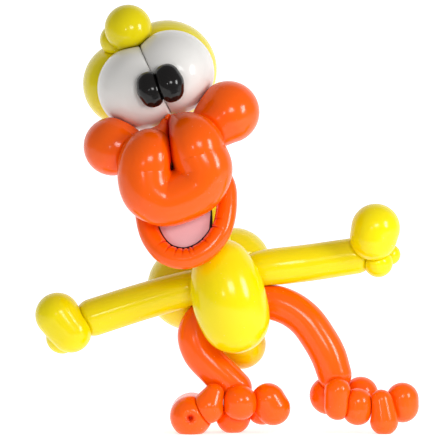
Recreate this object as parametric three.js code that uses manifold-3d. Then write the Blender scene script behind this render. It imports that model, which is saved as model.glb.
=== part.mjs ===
// A standing duck built from inflated latex balloons, in millimetres, +Z up.
// It faces -Y, so its own right hand is on the -X side. Every balloon is one closed solid:
// its bubbles are swept along short curves, flattened where they press on another balloon,
// and joined where the twists hold them together.
import * as THREE from 'three';
import { mergeVertices } from 'three/addons/utils/BufferGeometryUtils.js';
import Module from 'manifold-3d';

const manifold = await Module();
manifold.setup();

// The duck keeps its pose and proportions at any height. They are given as on one 601 mm tall.
const duckHeight = 601;
const pose = duckHeight / 601;

// Balloon sizes: radius of each inflated balloon or bubble
const armRadius = 25.5 * pose;
const legRadius = 25 * pose;
const jawRadius = 14.5 * pose;
const beakRadius = 39.5 * pose;
const beakLipRadius = 37.5 * pose;
const cheekRightRadius = 41 * pose;
const cheekLeftRadius = 43.5 * pose;
const eyeRadius = 59.5 * pose;
const pupilRightRadius = 19.5 * pose;
const pupilLeftRadius = 21 * pose;
const headRightRadius = 59 * pose;
const headLeftRadius = 70 * pose;
const tuftRadius = 33 * pose;
const tuftButtonRadius = 24 * pose;
const neckRadius = 32 * pose;
const bellyTopRadius = 42 * pose;
const bellyRadius = 52 * pose;
const backRightRadius = 60 * pose;
const backLeftRadius = 52 * pose;
const tailRadius = 35 * pose;
const toeRadius = 24.5 * pose;
const handRightRadius = 31.5 * pose;
const handLeftRadius = 34.2 * pose;
const thumbRightRadius = 23 * pose;
const thumbLeftRadius = 20.5 * pose;
const fingerLeftRadius = 14.5 * pose;
const twistRadius = 9 * pose;         // a balloon where it is twisted off

// Fits
const contactGap = 0.9;        // left between balloons that press on each other
const floorPress = 2.2;        // how far a toe is flattened where it stands
const outerToePress = 5;       // the same for the right foot's outer toe, under most of the weight
const tuftPress = 7.3 * pose;  // how far the tuft sinks into the head
const beakSlit = 2 * pose;     // half the slit left in the middle of the beak
const cardThickness = 1.6;
const tongueClearance = 1.5;   // from the tongue card to the jaw loop around it
const backingClearance = 1;    // from the backing card to the jaw loop in front of it
const backingSetBack = 11;     // the backing card behind the middle of the jaw loop

// Pose
const headTilt = THREE.MathUtils.degToRad(17.5);
const jawLean = 0.42;
const bodyTwist = at(-2, 8, 214);
const beakMiddle = at(-70, -105, 374);
const jawRoot = at(-70, -47, 368);

// Facets
const sidesLarge = 18;
const sidesSmall = 12;
const sidesOuterToe = 16;
const capRings = 4;
const skeletonSteps = 6;

const up = new THREE.Vector3(0, 0, 1);
const headAcross = new THREE.Vector3(Math.cos(headTilt), 0, Math.sin(headTilt));
const headUp = new THREE.Vector3(-Math.sin(headTilt), 0, Math.cos(headTilt));

// A place in the pose
function at(x, y, z) {
  return new THREE.Vector3(x, y, z).multiplyScalar(pose);
}

// One station of a bubble: the middle of the air there and the balloon's radius
function station(middle, radius) {
  return { at: middle, radius };
}

function near(point, offset, radius) {
  return station(point.clone().add(at(...offset)), radius);
}

// A ball that sits on another one and is pressed into it
function ballOn(carrier, towards, radius, press) {
  const reach = carrier.radius + radius - press;
  return station(carrier.at.clone().addScaledVector(towards.clone().normalize(), reach), radius);
}

class Bubble {
  // stations: one for a ball, more for an egg, a bean or a tube
  // crease: tells whether a point lies past a fold where the bubble presses on itself
  constructor(stations, {
    sides = sidesSmall, rings = 0, axis = up, caps = capRings, crease = () => false,
  } = {}) {
    this.stations = stations;
    this.sides = sides;
    this.middleRings = stations.length > 1 ? Math.max(rings, 1) : 0;
    this.axis = axis.clone().normalize();
    this.caps = caps;
    this.crease = crease;
    if (stations.length > 1) {
      this.path = new THREE.CatmullRomCurve3(stations.map((s) => s.at));
      this.girth = new THREE.CatmullRomCurve3(stations.map((s) => new THREE.Vector3(s.radius, 0, 0)));
    }
    const steps = stations.length > 1 ? skeletonSteps * (stations.length - 1) : 0;
    this.skeleton = Array.from({ length: steps + 1 }, (_, i) => this.sample(steps ? i / steps : 0));
  }

  // The middle, radius, direction and taper of the bubble at a share of its length
  sample(share) {
    if (!this.path) {
      return { at: this.stations[0].at, radius: this.stations[0].radius, along: this.axis, taper: 0 };
    }
    const step = 1e-3;
    const before = Math.max(share - step, 0);
    const after = Math.min(share + step, 1);
    const run = this.path.getPoint(before).distanceTo(this.path.getPoint(after));
    const gain = this.girth.getPoint(after).x - this.girth.getPoint(before).x;
    return {
      at: this.path.getPoint(share),
      radius: this.girth.getPoint(share).x,
      along: this.path.getPoint(after).sub(this.path.getPoint(before)).normalize(),
      taper: THREE.MathUtils.clamp(gain / Math.max(run, 1e-9), -0.9, 0.9),
    };
  }

  // The middle nearest to a point, and how far the point is from the skin there, as a square
  nearest(point) {
    let best = null;
    for (let i = 0; i < this.skeleton.length; i += 1) {
      const a = this.skeleton[Math.max(i - 1, 0)];
      const b = this.skeleton[i];
      const span = b.at.clone().sub(a.at);
      const share = i === 0 ? 0 : THREE.MathUtils.clamp(
        point.clone().sub(a.at).dot(span) / span.lengthSq(), 0, 1);
      const middle = a.at.clone().addScaledVector(span, share);
      const radius = THREE.MathUtils.lerp(a.radius, b.radius, share);
      const outside = point.distanceToSquared(middle) - radius * radius;
      if (!best || outside < best.outside) best = { middle, outside };
    }
    return best;
  }

  // Rings of rays from the middle of the air to the skin, from one tip to the other
  rays() {
    const rings = [];
    const first = this.sample(0);
    const last = this.sample(1);
    const firstTurn = Math.acos(first.taper);
    const lastTurn = Math.acos(-last.taper);
    for (let i = 0; i < this.caps; i += 1) {
      rings.push({ ...first, turn: Math.PI - (firstTurn * i) / this.caps });
    }
    const inner = Math.max(this.middleRings, 1);
    for (let i = 0; i <= inner; i += 1) {
      if (!this.path && i > 0) break;
      const here = this.sample(i / inner);
      rings.push({ ...here, turn: Math.acos(-here.taper) });
    }
    for (let i = this.caps - 1; i >= 0; i -= 1) {
      rings.push({ ...last, turn: (lastTurn * i) / this.caps });
    }
    return rings;
  }
}

// Where the skin ends on a ray from the middle: at its full reach, on a neighbour, in a crease,
// or on the floor
function skinPoint(bubble, middle, reach, neighbours) {
  let share = 1;
  if (reach.z < 0) {
    share = middle.z / (middle.z - reach.z);
  }
  const here = new THREE.Vector3();
  const limits = neighbours.map((other) => () => {
    const ours = bubble.nearest(here);
    const theirs = other.nearest(here);
    const gap = contactGap * ours.middle.distanceTo(theirs.middle);
    return ours.outside + gap > theirs.outside;
  });
  limits.push(() => bubble.crease(here, middle));
  for (const limit of limits) {
    const pressed = (t) => {
      here.lerpVectors(middle, reach, t);
      return limit();
    };
    if (!pressed(share)) continue;
    let low = 0;
    let high = share;
    for (let i = 0; i < 22; i += 1) {
      const half = (low + high) / 2;
      if (pressed(half)) high = half;
      else low = half;
    }
    share = low;
  }
  return new THREE.Vector3().lerpVectors(middle, reach, share);
}

// The closed skin of one bubble, as shared vertices and triangles
function bubbleSolid(bubble, neighbours) {
  const points = [];
  const triangles = [];
  const rings = bubble.rays();
  let side = new THREE.Vector3(0, 0, -1);
  if (Math.abs(rings[0].along.z) > 0.9) side = new THREE.Vector3(0, -1, 0);
  rings.forEach((ring, index) => {
    const tip = index === 0 || index === rings.length - 1;
    side = side.clone().addScaledVector(ring.along, -side.dot(ring.along)).normalize();
    const third = new THREE.Vector3().crossVectors(ring.along, side);
    for (let k = 0; k < (tip ? 1 : bubble.sides); k += 1) {
      const round = ((k + 0.5) / bubble.sides) * 2 * Math.PI;
      const reach = ring.at.clone().addScaledVector(ring.along, ring.radius * Math.cos(ring.turn));
      if (!tip) {
        reach.addScaledVector(side, ring.radius * Math.sin(ring.turn) * Math.cos(round));
        reach.addScaledVector(third, ring.radius * Math.sin(ring.turn) * Math.sin(round));
      }
      points.push(skinPoint(bubble, ring.at, reach, neighbours));
    }
  });
  const start = (index) => 1 + (index - 1) * bubble.sides;
  const finish = points.length - 1;
  for (let k = 0; k < bubble.sides; k += 1) {
    const next = (k + 1) % bubble.sides;
    triangles.push([0, start(1) + next, start(1) + k]);
    for (let index = 1; index < rings.length - 2; index += 1) {
      const a = start(index);
      const b = start(index + 1);
      triangles.push([a + k, a + next, b + next], [a + k, b + next, b + k]);
    }
    const lastRing = start(rings.length - 2);
    triangles.push([finish, lastRing + k, lastRing + next]);
  }
  return solidFrom(points.flatMap((p) => [p.x, p.y, p.z]), triangles.flat());
}

function solidFrom(coordinates, triangles) {
  return new manifold.Manifold(new manifold.Mesh({
    numProp: 3,
    vertProperties: new Float32Array(coordinates),
    triVerts: new Uint32Array(triangles),
  }));
}

function geometryFrom(solid) {
  const { vertProperties, triVerts } = solid.getMesh();
  const geometry = new THREE.BufferGeometry();
  geometry.setAttribute('position', new THREE.BufferAttribute(vertProperties, 3));
  geometry.setIndex(new THREE.BufferAttribute(triVerts, 1));
  geometry.computeVertexNormals();
  return geometry;
}

function ball(middle, sides = sidesSmall) {
  return new Bubble([middle], { sides });
}

// The balloons

const headRight = station(at(-139, 32, 488), headRightRadius);
const headLeft = station(at(-80, 38, 507), headLeftRadius);
const eyeRight = station(at(-117.5, -34, 485), eyeRadius);
const eyeLeft = station(at(-73, -34, 506), eyeRadius);

function headRounds() {
  return {
    head_round_right: [ball(headRight, sidesLarge)],
    head_round_left: [ball(headLeft, sidesLarge)],
    tuft: [
      ball(ballOn(eyeRight, new THREE.Vector3(-16.5, 12, 83), tuftRadius, tuftPress)),
      ball(ballOn(headLeft, new THREE.Vector3(-70, -28, 43), tuftButtonRadius, tuftPress)),
    ],
  };
}

// A pupil is an egg, a little longer up the head than across it
function pupil(middle, radius) {
  const halfLength = radius * 0.45;
  const tipRadius = radius * 0.87;
  return new Bubble([
    station(middle.clone().addScaledVector(headUp, halfLength), tipRadius),
    station(middle, radius),
    station(middle.clone().addScaledVector(headUp, -halfLength), tipRadius),
  ], { rings: 2, caps: 3 });
}

function eyes() {
  return {
    eye_right: [ball(eyeRight, sidesLarge)],
    eye_left: [ball(eyeLeft, sidesLarge)],
    pupils: [
      pupil(at(-102, -102, 485), pupilRightRadius),
      pupil(at(-76.5, -104, 494), pupilLeftRadius),
    ],
  };
}

// A point on the face: across, up and back from the middle of the beak, in the tilted head
function facePoint(across, rise, back = 0) {
  return beakMiddle.clone()
    .addScaledVector(headAcross, across * pose)
    .addScaledVector(headUp, rise * pose)
    .add(at(0, back, 0));
}

// The beak's loop is folded: its halves press on each other in a flat crease that runs from the
// knot down to the slit, and below the slit's foot they are one tube again
const creaseTop = new THREE.Vector2(13, 68);
const creaseFoot = new THREE.Vector2(-0.3, 8.5);
const slitFoot = 2;

function pastBeakCrease(point, middle) {
  const along = creaseTop.clone().sub(creaseFoot).normalize();
  const offset = point.clone().sub(beakMiddle).divideScalar(pose);
  const fromCrease = (p) => new THREE.Vector2(p.dot(headAcross), p.dot(headUp)).sub(creaseTop).cross(along);
  if (offset.dot(headUp) < slitFoot) return false;
  const ours = fromCrease(middle.clone().sub(beakMiddle).divideScalar(pose));
  return fromCrease(offset) * Math.sign(ours) * pose < contactGap / 2;
}

// The beak is one fat balloon: a loop between two cheeks, twisted together in a knot under the eyes
function beak() {
  const knot = facePoint(creaseTop.x, creaseTop.y, 47);
  const loopAcross = (beakRadius + beakSlit) / pose;
  const loopPoint = ([share, rise, radius]) => station(facePoint(share * loopAcross, rise), radius);
  const loopRoute = [[-0.7, 28, beakRadius * 0.93], [-0.95, 10, beakRadius], [-1, -18, beakRadius],
    [-0.62, -36, beakLipRadius], [0.05, -38, beakLipRadius], [0.66, -31, beakLipRadius],
    [0.99, -12, beakRadius], [0.98, 10, beakRadius], [0.95, 27, beakRadius * 0.96]];
  const tip = twistRadius * 0.7;
  return {
    beak_and_cheeks: [
      new Bubble([
        station(facePoint(9, 67, 47), tip),
        station(facePoint(2.5, 55, 40), beakRadius * 0.27),
        station(facePoint(-15.5, 40.5, 23), beakRadius * 0.58),
        ...loopRoute.map(loopPoint),
        station(facePoint(33, 43, 21), beakRadius * 0.72),
        station(facePoint(23, 60, 39), beakRadius * 0.31),
        station(facePoint(17, 67, 47), tip),
      ], { sides: 13, rings: 22, caps: 2, crease: pastBeakCrease }),
      ball(station(knot, twistRadius * 0.8)),
      new Bubble([
        station(at(-155, -59, 404), cheekRightRadius),
        station(facePoint(-37, 32, 36), cheekRightRadius * 0.6),
        near(knot, [0, 8, -14], twistRadius + 3),
      ], { rings: 3, caps: 3 }),
      new Bubble([
        station(at(6, -59, 452), cheekLeftRadius),
        station(facePoint(46, 34, 36), cheekLeftRadius * 0.55),
        near(knot, [0, 8, -14], twistRadius + 3),
      ], { rings: 3, caps: 3 }),
    ],
  };
}

// The jaw hangs from behind the beak in a loop that leans forward at its foot.
// Its route is given across and down from its root.
const jawRoute = [[-28, -18], [-48, 20], [-57, 56], [-56, 80], [-45, 104], [-22, 118],
  [3, 118], [23, 109.5], [41, 94], [57, 64], [62, 32], [38, -22]];

function jawPoint(across, down, setBack = 0) {
  return jawRoot.clone()
    .add(new THREE.Vector3(0, setBack - jawLean * down * pose, 0))
    .addScaledVector(headAcross, across * pose)
    .addScaledVector(headUp, -down * pose);
}

function jaw() {
  const stations = jawRoute.map(([across, down], i) => {
    const inside = i > 0 && i < jawRoute.length - 1;
    return station(jawPoint(across, down), inside ? jawRadius : twistRadius);
  });
  return { jaw: [new Bubble(stations, { sides: 8, rings: 24, caps: 2 })] };
}

function body() {
  return {
    belly: [new Bubble([
      station(at(-2, -50, 232), bellyTopRadius),
      station(at(2, -52, 213), bellyRadius * 0.94),
      station(at(7, -53, 191), bellyRadius),
      station(at(12, -51, 173), bellyRadius * 0.98),
      station(at(15, -50, 163), bellyRadius * 0.94),
    ], { sides: sidesLarge, rings: 4 })],
    back_round_right: [ball(station(at(-48, 64, 200), backRightRadius), sidesLarge)],
    back_round_left: [ball(station(at(14, 62, 232), backLeftRadius), sidesLarge)],
    tail: [new Bubble([
      near(bodyTwist, [10, 17, -36], twistRadius),
      station(at(17, 36, 152), tailRadius * 0.75),
      station(at(24, 42, 121), tailRadius),
    ], { rings: 2, caps: 3 })],
    neck: [new Bubble([
      station(at(-66, -3, 412), neckRadius * 0.75),
      station(at(-48, -3, 354), neckRadius),
      station(at(-27, 3, 305), neckRadius * 0.94),
      station(at(-11, 6, 262), neckRadius * 0.7),
    ], { rings: 4, sides: 8, caps: 3 })],
  };
}

function arms() {
  return {
    arm_right: [
      new Bubble([
        near(bodyTwist, [-10, 0, -2], twistRadius),
        station(at(-28, 3, 208), armRadius * 0.8),
        station(at(-50, 0, 202), armRadius),
        station(at(-118, 1, 182.5), armRadius * 1.02),
        station(at(-183, 4, 161.5), armRadius * 1.04),
      ], { rings: 12, caps: 3 }),
      new Bubble([
        station(at(-233, -10, 165.5), handRightRadius),
        station(at(-222, -12, 150), handRightRadius * 0.94),
        station(at(-214.5, -12, 141.5), handRightRadius * 0.92),
      ], { rings: 3 }),
      ball(station(at(-227, 20, 132), thumbRightRadius)),
    ],
    arm_left: [
      new Bubble([
        near(bodyTwist, [12, 0, 4], twistRadius),
        station(at(29, 4, 224), armRadius * 0.8),
        station(at(53, 0, 230), armRadius),
        station(at(118, 1, 238), armRadius * 1.02),
        station(at(184, -1, 248), armRadius),
      ], { rings: 10, caps: 3 }),
      new Bubble([
        station(at(209, -30, 276), handLeftRadius * 0.97),
        station(at(212, -30, 288.5), handLeftRadius),
      ]),
      ball(station(at(216, -12, 239), thumbLeftRadius)),
      new Bubble([station(at(233, 11, 249), fingerLeftRadius)], { caps: 3 }),
    ],
  };
}

// A middle of a toe that stands on the floor: across and along from the spot, and its girth
const standing = (across, along, girth, press = floorPress) =>
  [across, along, girth - press / toeRadius, girth];

// A foot: toes twisted together around a spot on the floor. Each toe has one or two middles,
// given across, along and up from the spot, and its girth, all in toe radii.
function foot(spot, toes, sidesOfFirst = sidesSmall) {
  return toes.map((middles, index) => {
    const standsOnTip = middles[0][2] > middles[0][3] && middles.at(-1)[2] < middles.at(-1)[3];
    const stations = middles.map(([across, along, height, girth]) => station(
      spot.clone().addScaledVector(new THREE.Vector3(across, along, height), toeRadius), girth * toeRadius));
    const sides = index === 0 ? sidesOfFirst : sidesSmall;
    return new Bubble(stations, { sides, caps: standsOnTip ? capRings : 3 });
  });
}

function legs() {
  return {
    leg_right: [
      new Bubble([
        near(bodyTwist, [-14, 2, -26], legRadius * 0.48),
        station(at(-27, 4, 164), legRadius * 0.96),
        station(at(-40, -3, 139), legRadius),
        station(at(-34, -6, 114), legRadius),
        station(at(-14, -8, 91), legRadius),
        station(at(3, -8, 74), legRadius),
        station(at(15, -8, 63), toeRadius * 0.99),
      ], { rings: 9, caps: 2 }),
      ...foot(at(10, -8, 0), [
        [standing(-2.3, -0.88, 1.2, outerToePress), standing(-2.25, 0.5, 1.24, outerToePress)],
        [[-1, -1.15, 2.29, 0.61], [-1.33, -1.15, 1.53, 0.94]],
        [[0.49, -1, 1.8, 1.01]],
        [[2.12, -0.45, 1.9, 0.98], [2.41, -0.45, 1.43, 0.98]],
        [standing(0.12, 0.16, 1), standing(0.12, 1.22, 1)],
        [[1.8, 0.82, 1.39, 1]],
      ], sidesOuterToe),
    ],
    leg_left: [
      new Bubble([
        near(bodyTwist, [19, 3, -18], legRadius * 0.48),
        station(at(39, 11, 187), legRadius * 0.96),
        station(at(67, 6, 183), legRadius),
        station(at(94, 3, 173), legRadius),
        station(at(115, 0, 157), legRadius),
        station(at(132, -3, 134), legRadius),
        station(at(146, -6, 109), legRadius),
        station(at(155, -8, 82), toeRadius * 0.98),
      ], { rings: 11, caps: 2 }),
      ...foot(at(190, -8, 0), [
        [[-1.76, 0.82, 2.08, 1.1]],
        [[-1.27, -0.98, 2.45, 0.76], [-1.27, -0.98, 1.55, 0.76]],
        [[-0.1, -0.76, 1.72, 0.88], [-0.12, -0.76, 1.38, 0.9]],
        [[0.08, 0.82, 2.16, 1]],
        [[1.22, -0.9, 1.88, 0.66], standing(1.39, -0.9, 0.82)],
        [[2.45, 0.24, 1.92, 0.94], [2.45, 0.24, 1.51, 0.95]],
      ]),
    ],
  };
}

// The mouth: a pink card with a black one behind it, both cut to the inside of the jaw loop.
// On the duck's left both stop short of the loop, along a straight cut that leans inwards going
// down, and the neck shows past them.
function cardSolid({ setBack, inset, cutAcross, cutLean }) {
  const route = new THREE.CatmullRomCurve3(
    jawRoute.map(([across, down]) => new THREE.Vector3(across, -down, 0)));
  const first = 0.19;
  const steps = 14;
  const cutDown = 63;
  const outline = Array.from({ length: steps + 1 }, (_, i) => {
    const share = THREE.MathUtils.lerp(first, 1 - first, i / steps);
    const along = route.getTangent(share);
    const edge = new THREE.Vector2(route.getPoint(share).x, route.getPoint(share).y)
      .addScaledVector(new THREE.Vector2(-along.y, along.x), inset / pose);
    edge.x = Math.min(edge.x, cutAcross - (-edge.y - cutDown) * cutLean);
    return edge;
  });
  const card = new THREE.ExtrudeGeometry(new THREE.Shape(outline),
    { depth: cardThickness, bevelEnabled: false });
  const position = card.getAttribute('position');
  for (let i = 0; i < position.count; i += 1) {
    const placed = jawPoint(position.getX(i), -position.getY(i), setBack - position.getZ(i));
    position.setXYZ(i, placed.x, placed.y, placed.z);
  }
  card.deleteAttribute('normal');
  card.deleteAttribute('uv');
  return mergeVertices(card, 1e-3);
}

function mouthCards() {
  const depth = (backingSetBack - cardThickness) / Math.hypot(1, jawLean);
  const loopHalfWidth = Math.sqrt(jawRadius * jawRadius - depth * depth);
  return {
    tongue: cardSolid({ setBack: 0, inset: jawRadius + tongueClearance, cutAcross: 34.5, cutLean: 0.42 }),
    mouth_backing: cardSolid({
      setBack: backingSetBack, inset: loopHalfWidth + backingClearance, cutAcross: 36.2, cutLean: 0.28,
    }),
  };
}

// Finishes
const latex = {
  yellow: { color: 0xf4e60a, roughness: 0.18, metalness: 0 },
  orange: { color: 0xff6a00, roughness: 0.18, metalness: 0 },
  white: { color: 0xf2efe9, roughness: 0.18, metalness: 0 },
  black: { color: 0x0b0a0a, roughness: 0.12, metalness: 0 },
};
const card = {
  pink: { color: 0xedbec6, roughness: 0.8, metalness: 0 },
  black: { color: 0x141212, roughness: 0.8, metalness: 0 },
};

function finishOf(name) {
  if (name.startsWith('eye')) return latex.white;
  if (name === 'pupils') return latex.black;
  if (name === 'tongue') return card.pink;
  if (name === 'mouth_backing') return card.black;
  if (name.startsWith('leg') || name === 'jaw' || name.startsWith('beak')) return latex.orange;
  return latex.yellow;
}

const balloons = { ...headRounds(), ...eyes(), ...beak(), ...jaw(), ...body(), ...arms(), ...legs() };

// Whether two bubbles come near enough to press on each other
function meets(bubble, other) {
  return bubble.skeleton.some((ours) => other.skeleton.some((theirs) =>
    ours.at.distanceTo(theirs.at) < 2 * ours.radius + theirs.radius));
}

function balloonGeometry(name) {
  const others = Object.entries(balloons).filter(([other]) => other !== name).flatMap(([, list]) => list);
  const solids = balloons[name].map((bubble) =>
    bubbleSolid(bubble, others.filter((other) => meets(bubble, other))));
  return geometryFrom(solids.reduce((whole, solid) => whole.add(solid)));
}

const duck = new THREE.Group();
function addPart(name, geometry) {
  const mesh = new THREE.Mesh(geometry, new THREE.MeshStandardMaterial(finishOf(name)));
  mesh.name = name;
  duck.add(mesh);
}
Object.keys(balloons).forEach((name) => addPart(name, balloonGeometry(name)));
Object.entries(mouthCards()).forEach(([name, geometry]) => addPart(name, geometry));

// The origin is on the floor under the middle of the duck
duck.position.copy(at(-5, 10, 0));

export default duck;
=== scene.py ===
"""A standing duck built from inflated latex balloons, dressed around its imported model.

Lengths in the classes are millimetres, right and left are the duck's own, and it faces -Y.
"""
import logging
import math
from dataclasses import dataclass, field
from enum import Enum
from typing import Iterable, Optional, Sequence, Union

import bpy
import numpy as np
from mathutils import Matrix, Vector


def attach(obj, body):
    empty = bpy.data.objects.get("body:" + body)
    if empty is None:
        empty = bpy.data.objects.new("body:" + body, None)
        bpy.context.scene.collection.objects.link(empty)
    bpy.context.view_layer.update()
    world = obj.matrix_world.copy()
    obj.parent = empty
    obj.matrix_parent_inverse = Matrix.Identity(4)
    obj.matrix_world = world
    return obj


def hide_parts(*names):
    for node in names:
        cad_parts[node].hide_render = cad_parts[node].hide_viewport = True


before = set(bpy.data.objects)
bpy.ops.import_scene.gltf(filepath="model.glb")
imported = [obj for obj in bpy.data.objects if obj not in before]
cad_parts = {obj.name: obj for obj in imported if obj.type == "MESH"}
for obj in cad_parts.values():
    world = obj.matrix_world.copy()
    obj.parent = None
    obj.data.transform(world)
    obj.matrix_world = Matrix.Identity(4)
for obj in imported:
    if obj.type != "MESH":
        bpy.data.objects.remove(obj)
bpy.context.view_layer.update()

LOG = logging.getLogger("balloon_duck")
MM = 0.001
PHOTO_PIXELS = 440
MM_PER_PIXEL = 1.4

# Brings the middle of the duck's box over the origin.
ORIGIN_SHIFT = np.array([-5.0, 10.0, 0.0])
HEAD_TILT = math.radians(17.5)
HEAD_ACROSS = np.array([math.cos(HEAD_TILT), 0.0, math.sin(HEAD_TILT)])
HEAD_UP = np.array([-math.sin(HEAD_TILT), 0.0, math.cos(HEAD_TILT)])
BEAK_MIDDLE = np.array([-70.0, -105.0, 374.0])
# Where the arms, the legs, the belly and the tail are twisted together.
BODY_TWIST = np.array([-2.0, 8.0, 214.0])
TWIST_RADIUS = 9.0

# Between two skins that press on each other.
CONTACT_GAP = 0.2
# How near a bubble has to come to count as a neighbour.
TOUCH_MARGIN = 12.0
# Halvings that find a contact along a ray.
CONTACT_STEPS = 16
# The rounded rim of a contact: its least width, and how much more a fatter bubble has.
RIM_WIDTH, RIM_PER_RADIUS = 1.2, 0.07
# The rim's width along the beak's crease, as a share of that.
CREASE_RIM = 0.45
# How far the pucker reaches round from a tip, in radians, and how deep its wrinkles are.
TIP_SPREAD, PUCKER_DEPTH = 0.22, 0.25

# The middle of a bubble at one place and its radius there.
Station = tuple[float, float, float, float]
Colour = tuple[float, float, float]


class Rubber(Enum):
    """The latex colours that the duck is made of."""

    YELLOW = "yellow_latex"
    ORANGE = "orange_latex"
    WHITE = "white_latex"
    BLACK = "black_latex"


class Stock(Enum):
    """The card colours of the mouth."""

    PINK = "pink_card"
    BLACK = "black_card"


Link = Union["Socket", float, int, tuple]


class Shader:
    """A material's node tree, with one method for every kind of node."""

    def __init__(self, name: str) -> None:
        """Start an empty material.

        Args:
            name: The material's name.
        """
        self.material = bpy.data.materials.new(name)
        self.material.use_nodes = True
        self.tree = self.material.node_tree
        self.tree.nodes.clear()

    def node(self, kind: str, settings: Optional[dict] = None, **values: Link) -> bpy.types.Node:
        """Add a node, set it up and fill its sockets.

        Args:
            kind: The node's type, such as ShaderNodeTexNoise.
            settings: Properties that are set before the sockets.
            values: A value or link for each socket, named with _ for a blank; i0 is socket 0.

        Returns:
            The new node.
        """
        made = self.tree.nodes.new(kind)
        for key, value in (settings or {}).items():
            setattr(made, key, value)
        for key, value in values.items():
            by_place = key[0] == "i" and key[1:].isdigit()
            socket = made.inputs[int(key[1:])] if by_place else made.inputs[key.replace("_", " ")]
            if isinstance(value, Socket):
                self.tree.links.new(value.output, socket)
            else:
                socket.default_value = value
        return made

    def out(self, made: bpy.types.Node, place: Union[int, str] = 0) -> "Socket":
        """Wrap one output of a node."""
        return Socket(self, made.outputs[place])

    def mix(self, share: Link, low: Link, high: Link) -> "Socket":
        """Blend two colours.

        Args:
            share: How much of the second colour.
            low: The first colour.
            high: The second colour.

        Returns:
            The blended colour.
        """
        made = self.node("ShaderNodeMix", {"data_type": "RGBA"}, i0=share, i6=low, i7=high)
        return self.out(made, 2)

    def ramp(self, value: "Socket", low: float, high: float) -> "Socket":
        """Stretch a range of a value smoothly over 0 to 1.

        Args:
            value: The value.
            low: What becomes 0.
            high: What becomes 1.

        Returns:
            The stretched value.
        """
        made = self.node(
            "ShaderNodeMapRange", {"interpolation_type": "SMOOTHSTEP"},
            Value=value, From_Min=low, From_Max=high,
        )
        return self.out(made)

    def noise(self, scale: float, detail: float = 2.0, rough: float = 0.5) -> "Socket":
        """Cloudy noise fixed to the piece.

        Args:
            scale: Clouds in a metre.
            detail: Layers of finer clouds.
            rough: How strong the finer clouds are.

        Returns:
            The noise, 0 to 1.
        """
        place = self.out(self.node("ShaderNodeTexCoord"), "Object")
        made = self.node("ShaderNodeTexNoise", None, Vector=place, Scale=scale, Detail=detail, Roughness=rough)
        return self.out(made)

    def attribute(self, name: str) -> "Socket":
        """Read a value that the mesh carries."""
        return self.out(self.node("ShaderNodeAttribute", {"attribute_name": name}), "Fac")

    def finish(self, **values: Link) -> bpy.types.Material:
        """Close the tree with a Principled shader.

        Args:
            values: Its sockets.

        Returns:
            The material.
        """
        surface = self.node("ShaderNodeBsdfPrincipled", None, **values)
        self.node("ShaderNodeOutputMaterial", None, Surface=self.out(surface))
        return self.material


class Socket:
    """A value in a shader, which takes part in ordinary arithmetic."""

    def __init__(self, shader: Shader, output: bpy.types.NodeSocket) -> None:
        """Remember the tree and the output that carries the value."""
        self.shader = shader
        self.output = output

    def _math(self, operation: str, first: Link, second: Link) -> "Socket":
        """Add one Math node."""
        made = self.shader.node("ShaderNodeMath", {"operation": operation}, i0=first, i1=second)
        return self.shader.out(made)

    def __add__(self, other: Link) -> "Socket":
        """Sum."""
        return self._math("ADD", self, other)

    def __radd__(self, other: Link) -> "Socket":
        """Sum, with the number first."""
        return self._math("ADD", other, self)

    def __sub__(self, other: Link) -> "Socket":
        """Difference."""
        return self._math("SUBTRACT", self, other)

    def __rsub__(self, other: Link) -> "Socket":
        """Difference, with the number first."""
        return self._math("SUBTRACT", other, self)

    def __mul__(self, other: Link) -> "Socket":
        """Product."""
        return self._math("MULTIPLY", self, other)

    def __rmul__(self, other: Link) -> "Socket":
        """Product, with the number first."""
        return self._math("MULTIPLY", other, self)


# Near black painted shade for the inside of the beak's slit.
SLIT_SHADE = (0.006, 0.003, 0.002, 1.0)
DUST = (0.95, 0.93, 0.9, 1.0)


@dataclass(frozen=True)
class LatexFinish:
    """Glossy balloon rubber: stretched and clear over the swell, deeper where it is twisted; the deeper colour is
    also painted shade in wrinkles and along the beak's crease, and near black painted shade fills the slit.

    The scales are clouds, grains and specks in a metre.
    """

    name: str
    stretched: Colour
    # The deeper colour of slack rubber, also used as painted shade.
    slack_and_shade: Colour
    roughness: float = 0.17
    dust: float = 0.6
    cloud_scale: float = 14.0
    grain_scale: float = 90.0
    dust_scale: float = 520.0
    ior: float = 1.4

    def build(self) -> bpy.types.Material:
        """Make the material.

        Returns:
            The material.
        """
        shader = Shader(self.name)
        clouds = shader.noise(self.cloud_scale, 3.0)
        fine = shader.noise(self.grain_scale)
        slack_and_shade_level = shader.attribute("slack_and_shade")
        # Deeper colour where the rubber is slack, and as painted shade in grooves and along the crease, with a
        # random cloudy tone.
        depth = shader.ramp(slack_and_shade_level + (clouds - 0.5) * 0.14, 0.0, 1.0)
        rubber = shader.mix(depth, (*self.stretched, 1.0), (*self.slack_and_shade, 1.0))
        # Above 1 the value paints near black shade inside the slit.
        rubber = shader.mix(shader.ramp(slack_and_shade_level, 1.05, 1.5), rubber, SLIT_SHADE)
        specks = shader.ramp(shader.noise(self.dust_scale, 1.0), 0.79, 0.81) * self.dust
        rubber = shader.mix(specks, rubber, DUST)
        roughness = self.roughness + (fine - 0.5) * 0.06 + slack_and_shade_level * 0.12 + specks * 0.3
        grain = shader.node("ShaderNodeBump", None, Strength=0.05, Distance=0.0004, Height=fine)
        return shader.finish(Base_Color=rubber, Roughness=roughness, IOR=self.ior, Normal=shader.out(grain))


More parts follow.
